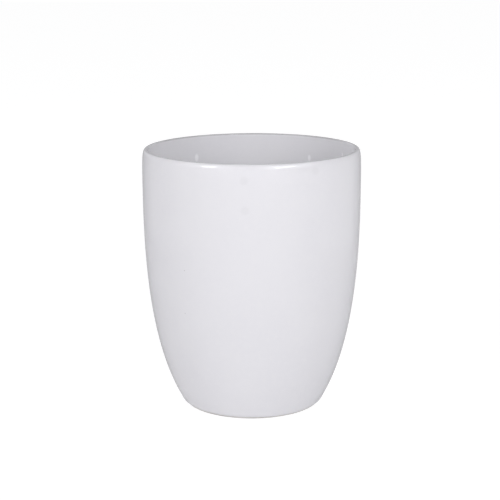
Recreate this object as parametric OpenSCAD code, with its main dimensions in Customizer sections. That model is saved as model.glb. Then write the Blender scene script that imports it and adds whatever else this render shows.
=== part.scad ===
// Porcelain crucible of the tall form, standing open without its lid.
// It is one thrown and fired vessel: a bare porcelain body under two glaze coats, one outside and one
// inside, which meet along the crest of the lip. The foot is left bare, so that it doesn't stick to the kiln.
// Millimetres, +Z up, origin at the centre of the plane that the foot stands on.

/* [Outside] */
// Overall height
height = 59.5; // [50:0.5:75]
// Outside diameter at the widest place
widest_d = 50; // [40:0.5:60]
// Height of the widest place, as a share of the overall height
widest_share = 0.87; // [0.75:0.01:0.95]
// Outside diameter where the side would meet the standing plane
foot_d = 32.2; // [28:0.1:36]
// Fullness of the side: 2 is an ellipse, and more is squarer
side_power = 2.5; // [2.4:0.1:3]

/* [Wall] */
// Wall thickness at the lip
lip_t = 1.36; // [1:0.02:2]
// Radius of the lip's inner edge
lip_edge_r = 0.3; // [0.3:0.05:0.5]
// How tightly the outside turns in over the lip: less is rounder, and more is squarer
lip_power = 4; // [3:0.5:5]
// Height of the inside floor above the standing plane
floor_z = 2.6; // [2:0.1:5]
// Fullness of the inside: more gives a flatter floor and a tighter corner
cavity_power = 3; // [2.7:0.1:3.2]

/* [Foot] */
// Width of the bare ring that touches the table
ring_w = 3; // [2:0.1:6]
// Depth of the hollow inside that ring
hollow_h = 0.5; // [0.2:0.1:1]
// Width of the slope from the ring up into the hollow
hollow_slope_w = 1.6; // [0.8:0.1:3]
// Radius of the outer edge of the foot
foot_edge_r = 0.25; // [0.1:0.05:0.3]

/* [Glaze] */
// Thickness of each glaze coat
glaze_t = 0.2; // [0.1:0.05:0.25]
// Height of the glaze's lower edge above the standing plane
glaze_edge_z = 0.4; // [0.4:0.05:2]

/* [Hidden] */
$fn = 180;
arc_step = 2;     // degrees between points of the outside and of the inside
round_step = 10;  // degrees between points of the small round edges
porcelain = [0.91, 0.90, 0.87];
glaze = [0.90, 0.90, 0.92];

side_r = widest_d / 2;
widest_z = height * widest_share;

// The side, the turn over the lip and the inside are superellipses about the widest height. Their points follow
// one angle: 0 at the widest height, -90 at the crest of the lip, and 90 where the curve would reach the axis.
foot_a = acos(pow(foot_d / 2 / side_r, side_power / 2));
side_h = widest_z / pow(sin(foot_a), 2 / side_power);
cavity_h = widest_z - floor_z;

mouth_r = side_r - lip_t;
mouth_z = height - lip_edge_r;
crest_r = mouth_r + lip_edge_r;
cavity_r = mouth_r / width_share(mouth_z, cavity_h, cavity_power);

// Where the side meets the standing plane: how far it leans out, and the radius of the porcelain there
foot_lean = -side_tilt(foot_a);
foot_body_r = foot_d / 2 - glaze_t / cos(foot_lean);
foot_edge_x = foot_body_r - foot_edge_r * (1 - sin(foot_lean)) / cos(foot_lean);

// Angles down the glazed side, and the angle where the rounded lower edge of the glaze begins
bead_a = angle_at(glaze_edge_z + glaze_t, side_h, side_power);
glaze_end_a = angle_at(glaze_edge_z, side_h, side_power);
cavity_angles = spread(angle_at(mouth_z, cavity_h, cavity_power), 90);
edge_turns = [100:round_step:170];
bead_turns = [22.5:22.5:90];

// Share of the full radius that a superellipse has at height z
function width_share(z, h, power) = pow(1 - pow(abs(widest_z - z) / h, power), 1 / power);

// Angle of the point of a superellipse at height z
function angle_at(z, h, power) = sign(widest_z - z) * asin(pow(abs(widest_z - z) / h, power / 2));

// Evenly spaced angles from a to b, both included exactly
function spread(a, b) = let (n = ceil((b - a) / arc_step)) [for (i = [0:n]) a * (1 - i / n) + b * i / n];

// Upward tilt of a superellipse's outward normal at angle a
function tilt(a, r, h, power) =
    let (slope = 2 - 2 / power)
    atan2(-sign(a) * pow(sin(abs(a)), slope) / h, pow(cos(a), slope) / r);
function side_tilt(a) = tilt(a, side_r, side_h, side_power);

// Point of a superellipse at angle a, moved inwards along its normal
function curve_point(a, r, h, power, inwards) =
    let (t = tilt(a, r, h, power))
    [r * pow(cos(a), 2 / power) - inwards * cos(t),
     widest_z - sign(a) * h * pow(sin(abs(a)), 2 / power) - inwards * sin(t)];

// Side below the widest height, at a depth under the surface of its glaze
function side_point(a, depth) = curve_point(a, side_r, side_h, side_power, depth);

// Outside from the crest of the lip to the rounded edge of the glaze, at a depth under its surface
function outside_points(depth) = concat(
    [for (a = spread(-90, 0))
        [crest_r, 0] + curve_point(a, side_r - crest_r, height - widest_z, lip_power, depth)],
    [for (a = spread(0, bead_a)) if (a > 0) side_point(a, depth)]);

// Inside from the lip's inner edge to the axis, at a depth under the surface of its glaze
function cavity_points(depth) =
    [for (a = cavity_angles) curve_point(a, cavity_r, cavity_h, cavity_power, -depth)];

// Rounded inner edge of the lip, from its crest down to the inside, at a depth under the surface of its glaze
function lip_edge_points(depth) =
    [for (t = edge_turns)
        [crest_r + (lip_edge_r - depth) * cos(t), mouth_z + (lip_edge_r - depth) * sin(t)]];

// Inside with the lip's edge, from just past the crest to the axis
function inside_points(depth) = concat(lip_edge_points(depth), cavity_points(depth));

// Half round that the glaze's lower edge ends in, from the coat's surface down to the porcelain
function bead_points() =
    [for (t = bead_turns) side_point(bead_a + (glaze_end_a - bead_a) * sin(t), glaze_t * (1 - cos(t)))];

// Foot from the end of the glaze to the axis: its rounded edge, the standing ring and the hollow
function foot_points() = concat(
    [for (t = [foot_lean:round_step:90])
        [foot_edge_x + foot_edge_r * cos(t), foot_edge_r * (1 - sin(t))]],
    [[foot_edge_x, 0]],
    [for (t = [0:0.125:1])
        [foot_edge_x - ring_w - hollow_slope_w * t, hollow_h * (1 - cos(180 * t)) / 2]],
    [[0, hollow_h]]);

function reversed(points) = [for (i = [len(points) - 1:-1:0]) points[i]];

// The bare fired porcelain, which carries both coats and stands on its foot ring
module porcelain_body() {
    color(porcelain)
        rotate_extrude()
            polygon(concat(
                reversed(inside_points(glaze_t)),
                outside_points(glaze_t),
                [side_point(glaze_end_a, glaze_t)],
                foot_points()));
}

// Glaze outside, from the crest of the lip down to its rounded edge just above the foot
module outer_glaze() {
    color(glaze)
        rotate_extrude()
            polygon(concat(
                outside_points(0),
                bead_points(),
                reversed(outside_points(glaze_t))));
}

// Glaze inside, from the crest of the lip over the wall and the floor
module inner_glaze() {
    color(glaze)
        rotate_extrude()
            polygon(concat(
                [[crest_r, height]],
                inside_points(0),
                reversed(inside_points(glaze_t)),
                [[crest_r, height - glaze_t]]));
}

porcelain_body();
outer_glaze();
inner_glaze();
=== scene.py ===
"""Porcelain crucible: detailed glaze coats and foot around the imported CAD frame, on a plain pale floor.
Metres, +Z up, in the CAD's own frame."""

import math

import bpy
import numpy as np
from mathutils import Euler, Matrix, Vector


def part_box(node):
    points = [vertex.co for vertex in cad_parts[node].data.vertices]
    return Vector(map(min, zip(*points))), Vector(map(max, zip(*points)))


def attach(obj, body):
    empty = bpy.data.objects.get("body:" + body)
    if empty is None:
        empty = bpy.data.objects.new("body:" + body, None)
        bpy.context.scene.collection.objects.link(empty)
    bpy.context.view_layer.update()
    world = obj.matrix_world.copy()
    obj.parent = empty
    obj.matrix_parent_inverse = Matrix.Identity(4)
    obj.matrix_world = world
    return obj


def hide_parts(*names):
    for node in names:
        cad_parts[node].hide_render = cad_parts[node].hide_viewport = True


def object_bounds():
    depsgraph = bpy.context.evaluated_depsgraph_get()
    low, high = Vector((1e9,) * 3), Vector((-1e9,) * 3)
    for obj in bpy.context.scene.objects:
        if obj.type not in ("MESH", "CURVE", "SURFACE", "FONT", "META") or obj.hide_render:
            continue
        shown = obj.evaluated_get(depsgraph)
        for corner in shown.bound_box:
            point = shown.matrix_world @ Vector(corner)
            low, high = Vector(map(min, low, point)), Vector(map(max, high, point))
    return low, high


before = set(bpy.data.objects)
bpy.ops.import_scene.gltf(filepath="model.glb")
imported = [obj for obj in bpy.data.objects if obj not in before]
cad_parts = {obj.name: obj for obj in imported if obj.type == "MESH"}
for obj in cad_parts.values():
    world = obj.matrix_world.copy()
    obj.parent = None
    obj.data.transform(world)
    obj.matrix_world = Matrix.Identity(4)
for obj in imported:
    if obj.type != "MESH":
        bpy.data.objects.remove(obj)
cad_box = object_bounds()

MM = 0.001

# The vessel's shape. Its height, its widest radius, the glaze's thickness and the inside floor come from the
# frame. The rest repeats part.scad's own driving values.
HEIGHT = cad_box[1].z
SIDE_R = cad_box[1].x
GLAZE_T = SIDE_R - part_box("porcelain_body")[1].x
FLOOR_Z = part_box("inner_glaze")[0].z + GLAZE_T
WIDEST_Z = HEIGHT * 0.87
FOOT_R = 16.1 * MM
SIDE_POWER = 2.5
LIP_POWER = 4.0
LIP_T = 1.36 * MM
LIP_EDGE_R = 0.3 * MM
CAVITY_POWER = 3.0
RING_W = 3 * MM
HOLLOW_H = 0.5 * MM
HOLLOW_SLOPE_W = 1.6 * MM
FOOT_EDGE_R = 0.25 * MM
EDGE_Z = 0.4 * MM

# Mesh resolution
SEGMENTS = 288
SIDE_RINGS = 72
LIP_RINGS = 40
EDGE_RINGS = 10
HIDDEN_RINGS = 36
BARE_RINGS = 6
ROUND_RINGS = 9
FOOT_RINGS = 190

# How far the fired shape departs from the true one
OUT_OF_ROUND = 0.035 * MM
EDGE_WAVE = 0.14 * MM
EDGE_BLEND_H = 1.6 * MM
EDGE_SWELL = 0.05 * MM
TURNING_PITCH = 0.42 * MM
TURNING_DEPTH = 0.022 * MM

# Colours and finish of the glaze and of the bare porcelain
GLAZE_COLOUR = (0.80, 0.795, 0.81)
THICK_GLAZE_COLOUR = (0.79, 0.785, 0.803)
THIN_GLAZE_COLOUR = (0.81, 0.804, 0.816)
SMUDGE_COLOUR = tuple(c * 0.9 for c in GLAZE_COLOUR)
SPECK_COLOUR = (0.30, 0.27, 0.25)
# Painted shade: the grey for the back of the lip's crest
RIM_SHADE_COLOUR = (0.56, 0.55, 0.56)
# Painted highlight: the runs inside are whiter than the glaze
RUN_HIGHLIGHT_COLOUR = (0.95, 0.945, 0.96)
BISCUIT_COLOUR = (0.76, 0.745, 0.72)
STAIN_COLOUR = (0.66, 0.63, 0.59)
# Darker colour for the very bottom of the foot
BOTTOM_DARK_COLOUR = (0.52, 0.505, 0.49)
GLAZE_ROUGHNESS = (0.06, 0.12)
BISCUIT_ROUGHNESS = (0.72, 0.9)
GLAZE_IOR = 1.52

# Marks in the glaze. A pair is the distance from the mark's centre where it begins and where it is full.
SMUDGE_R = (1.2 * MM, 0.5 * MM)
SPECK_R = (0.16 * MM, 0.05 * MM)
# A run's pair counts its own radius as 1. Its heights count for less, so that it is taller than it is wide.
RUN_R = (1.15, 0.45)
RUN_HEIGHTS = 0.55
# Where grey painted shade lies over the back of the lip: how far under its crest, and how far behind the axis
RIM_SHADE_UNDER = (0.42 * MM, 0.12 * MM)
RIM_SHADE_BEHIND = (4 * MM, 16 * MM)

# Depth of the relief that is too fine for the mesh
RUN_DEPTH = 0.04 * MM
WAVE_DEPTH = 0.06 * MM
PEEL_DEPTH = 0.006 * MM
GRAIN_DEPTH = 0.03 * MM
LUMP_DEPTH = 0.05 * MM

# Floor, camera and lights, in metres, degrees and watts. The room's light comes from each direction, as
# strongly as that direction is long.
FLOOR_HALF_W = 2.5
FLOOR_ALBEDO = 0.85
FLOOR_SHADE = 0.2
FLOOR_GLOW = 0.92
WHITE = (1, 1, 1, 1)
LIGHT_COLOUR = (1.004, 1.0, 1.03)
ROOM_LIGHT = ((-0.695, 0, 0), (0.433, 0, 0), (0, 0.38, 0))
LAMP_DISTANCE = 1.0
CARD_DISTANCE = 0.14
CAMERA_PLACE = (-0.00044, -0.29455, 0.10316)
CAMERA_DOWN = 12.932
CAMERA_ROLL = -0.22
LENS_MM = 93.71
SENSOR_MM = 36


# ---------------------------------------------------------------- profiles


def width_share(z, h, power):
    """Share of the full radius that a superellipse about the widest height has at height z."""
    return (1 - (abs(WIDEST_Z - z) / h) ** power) ** (1 / power)


def angle_at(z, h, power):
    """The superellipse's angle at height z: 0 at the widest height and a right angle at the axis."""
    return math.copysign(math.asin((abs(WIDEST_Z - z) / h) ** (power / 2)), WIDEST_Z - z)


foot_angle = math.acos((FOOT_R / SIDE_R) ** (SIDE_POWER / 2))
SIDE_H = WIDEST_Z / math.sin(foot_angle) ** (2 / SIDE_POWER)
CAVITY_H = WIDEST_Z - FLOOR_Z
MOUTH_Z = HEIGHT - LIP_EDGE_R
CREST_R = SIDE_R - LIP_T + LIP_EDGE_R
CAVITY_R = (SIDE_R - LIP_T) / width_share(MOUTH_Z, CAVITY_H, CAVITY_POWER)

# How far the side leans out where it would meet the table
normal_power = 2 - 2 / SIDE_POWER
FOOT_LEAN = math.atan2(
    math.sin(foot_angle) ** normal_power / SIDE_H, math.cos(foot_angle) ** normal_power / SIDE_R
)

# Radius of the flat part of the foot, inside its rounded edge
edge_w = FOOT_EDGE_R * (1 - math.sin(FOOT_LEAN)) / math.cos(FOOT_LEAN)
FLAT_R = FOOT_R - GLAZE_T / math.cos(FOOT_LEAN) - edge_w


def curve(angles, r, h, power, inwards):
    """Points (radius, height) of a superellipse, moved inwards along its normal."""
    c, s = np.clip(np.cos(angles), 0, 1), np.abs(np.sin(angles))
    half = np.sign(angles)
    normal = np.stack([c ** (2 - 2 / power) / r, -half * s ** (2 - 2 / power) / h], 1)
    normal /= np.linalg.norm(normal, axis=1)[:, None]
    points = np.stack([r * c ** (2 / power), WIDEST_Z - half * h * s ** (2 / power)], 1)
    return points - normal * inwards


def side_curve(z_from, z_to, rings, depth=0.0):
    """The side between two heights of the glazed surface, at a depth under it."""
    ends = [angle_at(z, SIDE_H, SIDE_POWER) for z in (z_from, z_to)]
    return curve(np.linspace(*ends, rings), SIDE_R, SIDE_H, SIDE_POWER, depth)


def outside_curve(z_to, lip_rings, side_rings, depth=0.0):
    """The outside from the crest of the lip, over the widest height and down, at a depth under the glaze."""
    turns = np.linspace(-math.pi / 2, 0, lip_rings)
    lip = curve(turns, SIDE_R - CREST_R, HEIGHT - WIDEST_Z, LIP_POWER, depth) + [CREST_R, 0]
    return np.concatenate([lip, side_curve(WIDEST_Z, z_to, side_rings, depth)[1:]])


def inside_curve(edge_rings, rings, depth=0.0):
    """The inside from the crest, over the lip's inner edge and down to the axis, at a depth under the glaze."""
    t = np.linspace(math.pi / 2, math.pi, edge_rings)
    radius = LIP_EDGE_R - depth
    edge = np.stack([CREST_R + radius * np.cos(t), MOUTH_Z + radius * np.sin(t)], 1)
    angles = np.linspace(angle_at(MOUTH_Z, CAVITY_H, CAVITY_POWER), math.pi / 2, rings)
    cavity = curve(angles, CAVITY_R, CAVITY_H, CAVITY_POWER, -depth)[1:]
    cavity[-1, 0] = 0
    return np.concatenate([edge, cavity])


def foot_curve():
    """The bare foot: its rounded edge, the standing ring and the hollow, to the axis."""
    t = np.linspace(FOOT_LEAN, math.pi / 2, ROUND_RINGS)
    edge = np.stack([FLAT_R + FOOT_EDGE_R * np.cos(t), FOOT_EDGE_R * (1 - np.sin(t))], 1)
    r = np.linspace(FLAT_R, 0, FOOT_RINGS)[1:]
    inside = np.clip((FLAT_R - RING_W - r) / HOLLOW_SLOPE_W, 0, 1)
    return np.concatenate([edge, np.stack([r, HOLLOW_H * (1 - np.cos(math.pi * inside)) / 2], 1)])


# ---------------------------------------------------------------- meshes


def revolve(*profiles):
    """Grid of points, rings by segments, from profiles of (radius, height) that follow each other."""
    profile = np.concatenate(profiles)
    t = np.linspace(0, 2 * math.pi, SEGMENTS, endpoint=False)
    r, z = profile[:, :1], profile[:, 1:]
    return np.stack([r * np.cos(t), r * np.sin(t), np.repeat(z, SEGMENTS, 1)], 2)


def polar(grid):
    """Radius and angle of each point of a grid."""
    return np.hypot(grid[..., 0], grid[..., 1]), np.arctan2(grid[..., 1], grid[..., 0])


def waves(t, *parts):
    """Waves round the vessel, added up. Each is (share, number of waves in a turn, phase)."""
    return sum(share * np.cos(count * t + phase) for share, count, phase in parts)


def out_of_round(grid):
    """Draws a fired wall in by a few hundredths of a millimetre, in slow waves round it and up it."""
    t, z = polar(grid)[1], grid[..., 2] / HEIGHT
    slow = waves(t, (0.4 + 0.6 * z, 2, 0.7), (0.5, 3, 2.4 * z - 1.1))
    quick = waves(t, (0.35, 5, 4 * z), (0.3, 1, 9 * math.pi * z))
    all_shares = 2.15
    grid[..., :2] *= (1 - OUT_OF_ROUND / SIDE_R * (1 + (slow + quick) / all_shares) / 2)[..., None]
    return grid


def grid_normals(grid):
    """Normals of a grid, to the right of its rings' own direction, by differences between its points."""
    along = np.gradient(grid, axis=0, edge_order=min(2, len(grid) - 1))
    around = np.roll(grid, -1, axis=1) - np.roll(grid, 1, axis=1)
    normals = np.cross(along, around)
    for end, beside in ((0, 1), (-1, -2)):
        if np.abs(grid[end, :, :2]).max() == 0:
            normals[end] = normals[beside].mean(0)
    return normals / np.linalg.norm(normals, axis=2)[..., None]


def lathe_piece(name, grids, material, node):
    """A closed solid from grids that follow each other, each starting on the ring where the last one ended.
    Each grid has its own normals, so the edge between two is sharp. A ring on the axis is one point."""
    rings = [grids[0][0]] + [ring for grid in grids for ring in grid[1:]]
    if np.array_equal(rings[-1], rings[0]):
        rings.pop()
    points, ids = [], []
    for ring in rings:
        start, on_axis = len(points), np.abs(ring[:, :2]).max() == 0
        points.extend(ring[:1] if on_axis else ring)
        ids.append([start] * SEGMENTS if on_axis else range(start, start + SEGMENTS))
    faces, corner_normals, first = [], [], 0
    for grid in grids:
        normals = grid_normals(grid)
        for k in range(len(grid) - 1):
            upper, lower = ids[first + k], ids[(first + k + 1) % len(rings)]
            for j in range(SEGMENTS):
                n = (j + 1) % SEGMENTS
                corners = {upper[j]: (k, j), lower[j]: (k + 1, j), lower[n]: (k + 1, n), upper[n]: (k, n)}
                faces.append(list(corners))
                corner_normals.extend(normals[corner] for corner in corners.values())
        first += len(grid) - 1
    mesh = bpy.data.meshes.new(name)
    mesh.from_pydata([tuple(p) for p in points], [], faces)
    mesh.polygons.foreach_set("use_smooth", [True] * len(faces))
    mesh.normals_split_custom_set(corner_normals)
    mesh.materials.append(material)
    piece = bpy.data.objects.new(name, mesh)
    bpy.context.scene.collection.objects.link(piece)
    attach(piece, "root")
    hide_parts(node)
    return piece


# ---------------------------------------------------------------- pieces


def run_glaze_edge(grid):
    """Lets the glaze's lower edge rise and fall by a tenth of a millimetre, and swells it where it ran."""
    t, z = polar(grid)[1], grid[..., 2] - EDGE_Z
    wave = waves(t, (0.5, 3, 0.4), (0.3, 7, -1.3), (0.2, 13, 2.1))
    near = np.clip(1 - z / EDGE_BLEND_H, 0, 1)
    rise = EDGE_WAVE * (1 + wave) / 2 * near * near * (3 - 2 * near)
    swell = EDGE_SWELL * np.exp(-(((z - 2.5 * GLAZE_T) / (2 * GLAZE_T)) ** 2))
    outwards = rise * math.tan(FOOT_LEAN) + swell * math.cos(FOOT_LEAN)
    grid[..., 0] += outwards * np.cos(t)
    grid[..., 1] += outwards * np.sin(t)
    grid[..., 2] += rise - swell * math.sin(FOOT_LEAN)
    return grid


def outer_glaze_coat(material):
    """Glaze outside: lip, side and wavy, swollen lower edge, over the hidden face on the porcelain."""
    bead = []
    for turn in np.linspace(0, math.pi / 2, ROUND_RINGS)[1:]:
        z = EDGE_Z + GLAZE_T * (1 - math.sin(turn))
        bead.append(side_curve(z, z, 1, GLAZE_T * (1 - math.cos(turn))))
    end_z = EDGE_Z + GLAZE_T
    shown = run_glaze_edge(out_of_round(revolve(outside_curve(end_z, LIP_RINGS, SIDE_RINGS), *bead)))
    side = outside_curve(end_z, HIDDEN_RINGS, HIDDEN_RINGS, GLAZE_T)[::-1]
    hidden = out_of_round(revolve(bead[-1], side))
    hidden[0] = shown[-1]
    seam = np.stack([hidden[-1], shown[0]])
    return lathe_piece("outer_glaze_coat", [shown, hidden, seam], material, "outer_glaze")


def inner_glaze_coat(material):
    """Glaze inside: floor, wall and the lip's inner edge, over the hidden face on the porcelain."""
    shown = out_of_round(revolve(inside_curve(EDGE_RINGS, SIDE_RINGS)[::-1]))
    hidden = out_of_round(revolve(inside_curve(EDGE_RINGS, HIDDEN_RINGS, GLAZE_T)))
    seam = np.stack([shown[-1], hidden[0]])
    return lathe_piece("inner_glaze_coat", [shown, seam, hidden], material, "inner_glaze")


def turn_foot(grid):
    """Cuts the spiral that a turning tool leaves in the foot. It goes up, so the ring still stands flat."""
    r, t = polar(grid)
    spiral = (1 - np.cos(2 * math.pi * r / TURNING_PITCH + t)) / 2
    from_centre = np.clip(r / (5 * TURNING_PITCH), 0, 1)
    from_edge = np.clip((FLAT_R - r) / TURNING_PITCH, 0, 1)
    grid[..., 2] += TURNING_DEPTH * spiral * from_centre * from_edge
    return grid


def porcelain_biscuit(material):
    """The fired porcelain under the glaze. All that shows of it is the bare foot."""
    bare_z = EDGE_Z + EDGE_WAVE + GLAZE_T
    hidden = revolve(
        inside_curve(EDGE_RINGS, HIDDEN_RINGS, GLAZE_T)[::-1],
        outside_curve(bare_z, HIDDEN_RINGS, HIDDEN_RINGS, GLAZE_T)[1:],
    )
    foot = revolve(side_curve(bare_z, EDGE_Z / 2, BARE_RINGS, GLAZE_T), foot_curve())
    hidden, foot = out_of_round(hidden), turn_foot(out_of_round(foot))
    return lathe_piece(
        "porcelain_biscuit", [hidden, foot], material, "porcelain_body"
    )


# ---------------------------------------------------------------- materials


class Nodes:
    """The node tree of a material or of the world, with one short call for each node."""

    def __init__(self, owner, coordinates="Object"):
        owner.use_nodes = True
        self.owner = owner
        self.tree = owner.node_tree
        self.place = self.node("TexCoord").outputs[coordinates]

    def feed(self, socket, value):
        """Links a socket to another one, or sets it to a plain value."""
        if isinstance(value, bpy.types.NodeSocket):
            self.tree.links.new(value, socket)
        else:
            socket.default_value = value

    def node(self, kind, settings=(), **values):
        """A new node with its settings, and its inputs by name with _ for a space."""
        made = self.tree.nodes.new("ShaderNode" + kind)
        for key, value in dict(settings).items():
            setattr(made, key, value)
        for key, value in values.items():
            self.feed(made.inputs[key.replace("_", " ")], value)
        return made

    def operate(self, kind, operation, a, b):
        """The outputs of an operation on two inputs. The kind is Math or VectorMath."""
        made = self.node(kind, {"operation": operation})
        self.feed(made.inputs[0], a)
        self.feed(made.inputs[1], b)
        return made.outputs

    def math(self, operation, a, b):
        return self.operate("Math", operation, a, b)[0]

    def vector_math(self, operation, a, b, result="Vector"):
        return self.operate("VectorMath", operation, a, b)[result]

    def noise(self, size, detail=2.0, shift=0.0):
        """Noise from 0 to 1 whose lumps are about the given size in metres, moved along by shift."""
        moved = self.vector_math("ADD", self.place, (shift, shift, shift))
        return self.node("TexNoise", Vector=moved, Scale=1 / size, Detail=detail).outputs["Fac"]

    def ramp(self, value, low, high, start=0.0, end=1.0):
        """Maps a value between low and high to one between start and end, smoothly and no further."""
        made = self.node("MapRange", {"interpolation_type": "SMOOTHSTEP"}, Value=value)
        for key, number in zip(("From Min", "From Max", "To Min", "To Max"), (low, high, start, end)):
            made.inputs[key].default_value = number
        return made.outputs["Result"]

    def mix(self, share, a, b):
        """Colour a where share is 0 and colour b where it is 1."""
        made = self.node("Mix", {"data_type": "RGBA"})
        self.feed(made.inputs["Factor"], share)
        for socket, colour in zip([s for s in made.inputs if s.type == "RGBA"], (a, b)):
            self.feed(socket, colour if isinstance(colour, bpy.types.NodeSocket) else (*colour, 1))
        return [s for s in made.outputs if s.type == "RGBA"][0]

    def distance_to(self, point, heights=1.0):
        """Distance in metres from a point of the vessel, with heights counted at a share of their length."""
        x, y, z = point
        scaled = self.vector_math("MULTIPLY", self.place, (1, 1, heights))
        return self.vector_math("DISTANCE", scaled, (x, y, z * heights), "Value")

    def specks(self, spacing, radius, share):
        """1 inside rare round specks of about the given radius, in a share of cells of the given spacing."""
        made = self.node("TexVoronoi", Vector=self.place, Scale=1 / spacing)
        inside = self.ramp(made.outputs["Distance"], radius / spacing, 0.5 * radius / spacing)
        chosen = self.node("SeparateColor", Color=made.outputs["Color"]).outputs["Red"]
        return self.math("MULTIPLY", inside, self.math("LESS_THAN", chosen, share))

    def bumps(self, *layers):
        """The normal that a chain of bumps gives, each (height, depth in metres)."""
        normal = None
        for height, depth in layers:
            made = self.node("Bump", Height=height, Distance=depth, Strength=1.0)
            if normal is not None:
                self.feed(made.inputs["Normal"], normal)
            normal = made.outputs["Normal"]
        return normal

    def finish(self, **values):
        """Feeds the Principled shader's inputs, by name with _ for a space. The material is returned."""
        shader = self.tree.nodes["Principled BSDF"]
        for key, value in values.items():
            self.feed(shader.inputs[key.replace("_", " ")], value)
        return self.owner

    def show(self, output, to_light, to_camera):
        """Gives the camera one shader and every other ray another. The material or world is returned."""
        seen = self.node("MixShader", Fac=self.node("LightPath").outputs["Is Camera Ray"])
        self.feed(seen.inputs[1], to_light)
        self.feed(seen.inputs[2], to_camera)
        self.feed(self.tree.nodes[output].inputs["Surface"], seen.outputs[0])
        return self.owner


def spot(degrees, share_up, inside=False):
    """A place on the outside or the inside, by its angle from the front and its share of the height."""
    z = HEIGHT * share_up
    if inside:
        r = CAVITY_R * width_share(z, CAVITY_H, CAVITY_POWER)
    else:
        r = SIDE_R * width_share(z, SIDE_H, SIDE_POWER)
    t = math.radians(degrees)
    return (r * math.sin(t), -r * math.cos(t), z)


def glaze(name, shift, smudges=(), specks=(), runs=()):
    """White porcelain seen through clear glaze, uneven in thickness, with faint orange peel and rare specks.
    At the back, the crest of the lip is greyed with painted shade. Smudges and specks are
    places on it. Runs are (place, radius) of drops where it is thick, with a whiter colour that is a painted
    highlight."""
    n = Nodes(bpy.data.materials.new(name))
    colour = n.mix(n.ramp(n.noise(14 * MM, 2, shift), 0.35, 0.65), GLAZE_COLOUR, THICK_GLAZE_COLOUR)
    colour = n.mix(n.ramp(n.noise(1.1 * MM, 3, shift + 1), 0.4, 0.75, 0, 0.5), colour, THIN_GLAZE_COLOUR)
    for place in smudges:
        colour = n.mix(n.ramp(n.distance_to(place), *SMUDGE_R, 0, 0.35), colour, SMUDGE_COLOUR)
    for place in specks:
        colour = n.mix(n.ramp(n.distance_to(place), *SPECK_R, 0, 0.5), colour, SPECK_COLOUR)
    run_and_highlight = 0.0
    for place, radius in runs:
        drop = n.ramp(n.distance_to(place, RUN_HEIGHTS), *[share * radius for share in RUN_R])
        run_and_highlight = n.math("MAXIMUM", run_and_highlight, drop)
    # The runs' relief is real; their whiter colour is a painted highlight
    colour = n.mix(run_and_highlight, colour, RUN_HIGHLIGHT_COLOUR)
    _, y, z = n.node("SeparateXYZ", Vector=n.place).outputs
    # Painted shade: greys the back of the lip's crest
    crest = n.ramp(z, *[HEIGHT - depth for depth in RIM_SHADE_UNDER])
    colour = n.mix(n.math("MULTIPLY", crest, n.ramp(y, *RIM_SHADE_BEHIND)), colour, RIM_SHADE_COLOUR)
    colour = n.mix(n.math("MULTIPLY", n.specks(9 * MM, 0.11 * MM, 0.3), 0.8), colour, SPECK_COLOUR)
    relief = n.bumps(
        (run_and_highlight, RUN_DEPTH),
        (n.noise(6 * MM, 1, shift + 3), WAVE_DEPTH),
        (n.noise(0.9 * MM, 2, shift + 4), PEEL_DEPTH),
    )
    roughness = n.ramp(n.noise(3 * MM, 3, shift + 2), 0.3, 0.7, *GLAZE_ROUGHNESS)
    return n.finish(Base_Color=colour, Roughness=roughness, IOR=GLAZE_IOR, Normal=relief)


def biscuit():
    """Bare fired porcelain: matt, faintly warm, with fine grain and kiln marks, and darker in patches at the
    very bottom, where it stands.
    """
    n = Nodes(bpy.data.materials.new("biscuit_porcelain"))
    colour = n.mix(n.ramp(n.noise(4 * MM, 4), 0.5, 0.75, 0, 0.45), BISCUIT_COLOUR, STAIN_COLOUR)
    colour = n.mix(n.math("MULTIPLY", n.specks(2.4 * MM, 0.09 * MM, 0.35), 0.6), colour, SPECK_COLOUR)
    # Darker in patches at the very bottom, where it stands
    low = n.ramp(n.node("SeparateXYZ", Vector=n.place).outputs["Z"], EDGE_Z, EDGE_Z / 4)
    patchy = n.ramp(n.noise(1.6 * MM, 4, 5), 0.3, 0.6, 0.6, 0.95)
    colour = n.mix(n.math("MULTIPLY", low, patchy), colour, BOTTOM_DARK_COLOUR)
    relief = n.bumps((n.noise(0.16 * MM, 3, 2), GRAIN_DEPTH), (n.noise(1.3 * MM, 2, 3), LUMP_DEPTH))
    roughness = n.ramp(n.noise(1 * MM, 3, 1), 0.3, 0.7, *BISCUIT_ROUGHNESS)
    return n.finish(Base_Color=colour, Roughness=roughness, Normal=relief)


# ---------------------------------------------------------------- stage, camera and lights


def stage_floor():
    """A pale floor. The camera sees it a little brighter than the vessel does, so that it reads as white."""
    corners = [(x * FLOOR_HALF_W, y * FLOOR_HALF_W, 0) for x, y in ((-1, -1), (1, -1), (1, 1), (-1, 1))]
    mesh = bpy.data.meshes.new("floor")
    mesh.from_pydata(corners, [], [(0, 1, 2, 3)])
    floor = bpy.data.objects.new("floor", mesh)
    bpy.context.scene.collection.objects.link(floor)
    n = Nodes(bpy.data.materials.new("pale_floor"))
    matt = n.node("BsdfDiffuse", Color=(*[FLOOR_ALBEDO] * 3, 1))
    shade = n.node("BsdfDiffuse", Color=(*[FLOOR_SHADE] * 3, 1))
    glow = n.node("Emission", Color=WHITE, Strength=FLOOR_GLOW)
    lit = n.node("AddShader")
    n.feed(lit.inputs[0], shade.outputs[0])
    n.feed(lit.inputs[1], glow.outputs[0])
    mesh.materials.append(n.show("Material Output", matt.outputs[0], lit.outputs[0]))


def surroundings():
    """A white background for the camera, and around the vessel a room that is brightest at its sides."""
    n = Nodes(bpy.data.worlds.new("surroundings"), "Generated")
    strength = 0.0
    for direction in ROOM_LIGHT:
        towards = n.vector_math("DOT_PRODUCT", n.place, direction, "Value")
        strength = n.math("ADD", strength, n.math("MAXIMUM", towards, 0.0))
    room = n.node("Background", Color=(*LIGHT_COLOUR, 1), Strength=strength)
    white = n.node("Background", Color=WHITE, Strength=1.0)
    bpy.context.scene.world = n.show("World Output", room.outputs[0], white.outputs[0])


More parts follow.
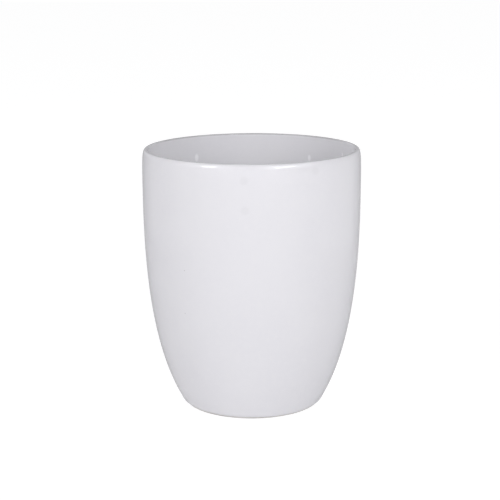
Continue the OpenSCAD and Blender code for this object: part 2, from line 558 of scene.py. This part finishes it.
def softbox(name, azimuth, elevation, width, height, power, distance=LAMP_DISTANCE):
    """A rectangular lamp that faces the vessel. Azimuth 0 is in front, and 90 is to the right."""
    lamp = bpy.data.lights.new(name, "AREA")
    lamp.shape = "RECTANGLE"
    lamp.size, lamp.size_y, lamp.energy = width, height, power
    lamp.color = LIGHT_COLOUR
    box = bpy.data.objects.new(name, lamp)
    bpy.context.scene.collection.objects.link(box)
    a, e = math.radians(azimuth), math.radians(elevation)
    out = Vector((math.sin(a) * math.cos(e), -math.cos(a) * math.cos(e), math.sin(e)))
    box.location = Vector((0, 0, HEIGHT / 2)) + out * distance
    box.rotation_euler = (-out).to_track_quat("-Z", "Y").to_euler()


def set_camera():
    """A short telephoto lens, a little above the rim and looking down at the vessel."""
    lens = bpy.data.cameras.new("camera")
    lens.sensor_width = SENSOR_MM
    lens.lens = LENS_MM
    lens.clip_start = 0.01
    camera = bpy.data.objects.new("camera", lens)
    camera.location = CAMERA_PLACE
    level = Euler((math.radians(90 - CAMERA_DOWN), 0, 0)).to_matrix()
    camera.rotation_euler = (level @ Matrix.Rotation(math.radians(CAMERA_ROLL), 3, "Z")).to_euler()
    bpy.context.scene.collection.objects.link(camera)
    bpy.context.scene.camera = camera


set_camera()
surroundings()
stage_floor()
softbox("left_box", azimuth=-45, elevation=19.5, width=0.24, height=0.16, power=1.2)
softbox("right_box", azimuth=35, elevation=20.5, width=0.4, height=0.16, power=1.85)
softbox("left_spill", azimuth=-50, elevation=25, width=0.9, height=0.6, power=1.55)
softbox("right_spill", azimuth=40, elevation=25, width=0.9, height=0.6, power=2.25)
softbox("front_fill", azimuth=0, elevation=10, width=1.2, height=0.8, power=2.75)
softbox("left_card", -95, 0, width=0.16, height=0.05, power=0.005, distance=CARD_DISTANCE)
softbox("right_card", 95, 0, width=0.16, height=0.05, power=0.007, distance=CARD_DISTANCE)
bpy.context.scene.view_settings.view_transform = "Standard"

smudges = [spot(-3.85, 0.943), spot(-3.4, 0.835), spot(33.1, 0.9675)]
specks = [spot(-36.7, 0.597), spot(-38.5, 0.429)]
# Glaze runs on the inside wall. Their whiter colour is a painted highlight.
runs = [
    (spot(-145.7, 0.9105, inside=True), 0.6 * MM),
    (spot(143.5, 0.9085, inside=True), 0.5 * MM),
    (spot(115.1, 0.943, inside=True), 0.4 * MM),
]
outer_glaze_coat(glaze("outer_glaze", 0.0, smudges, specks))
inner_glaze_coat(glaze("inner_glaze", 0.7, runs=runs))
porcelain_biscuit(biscuit())
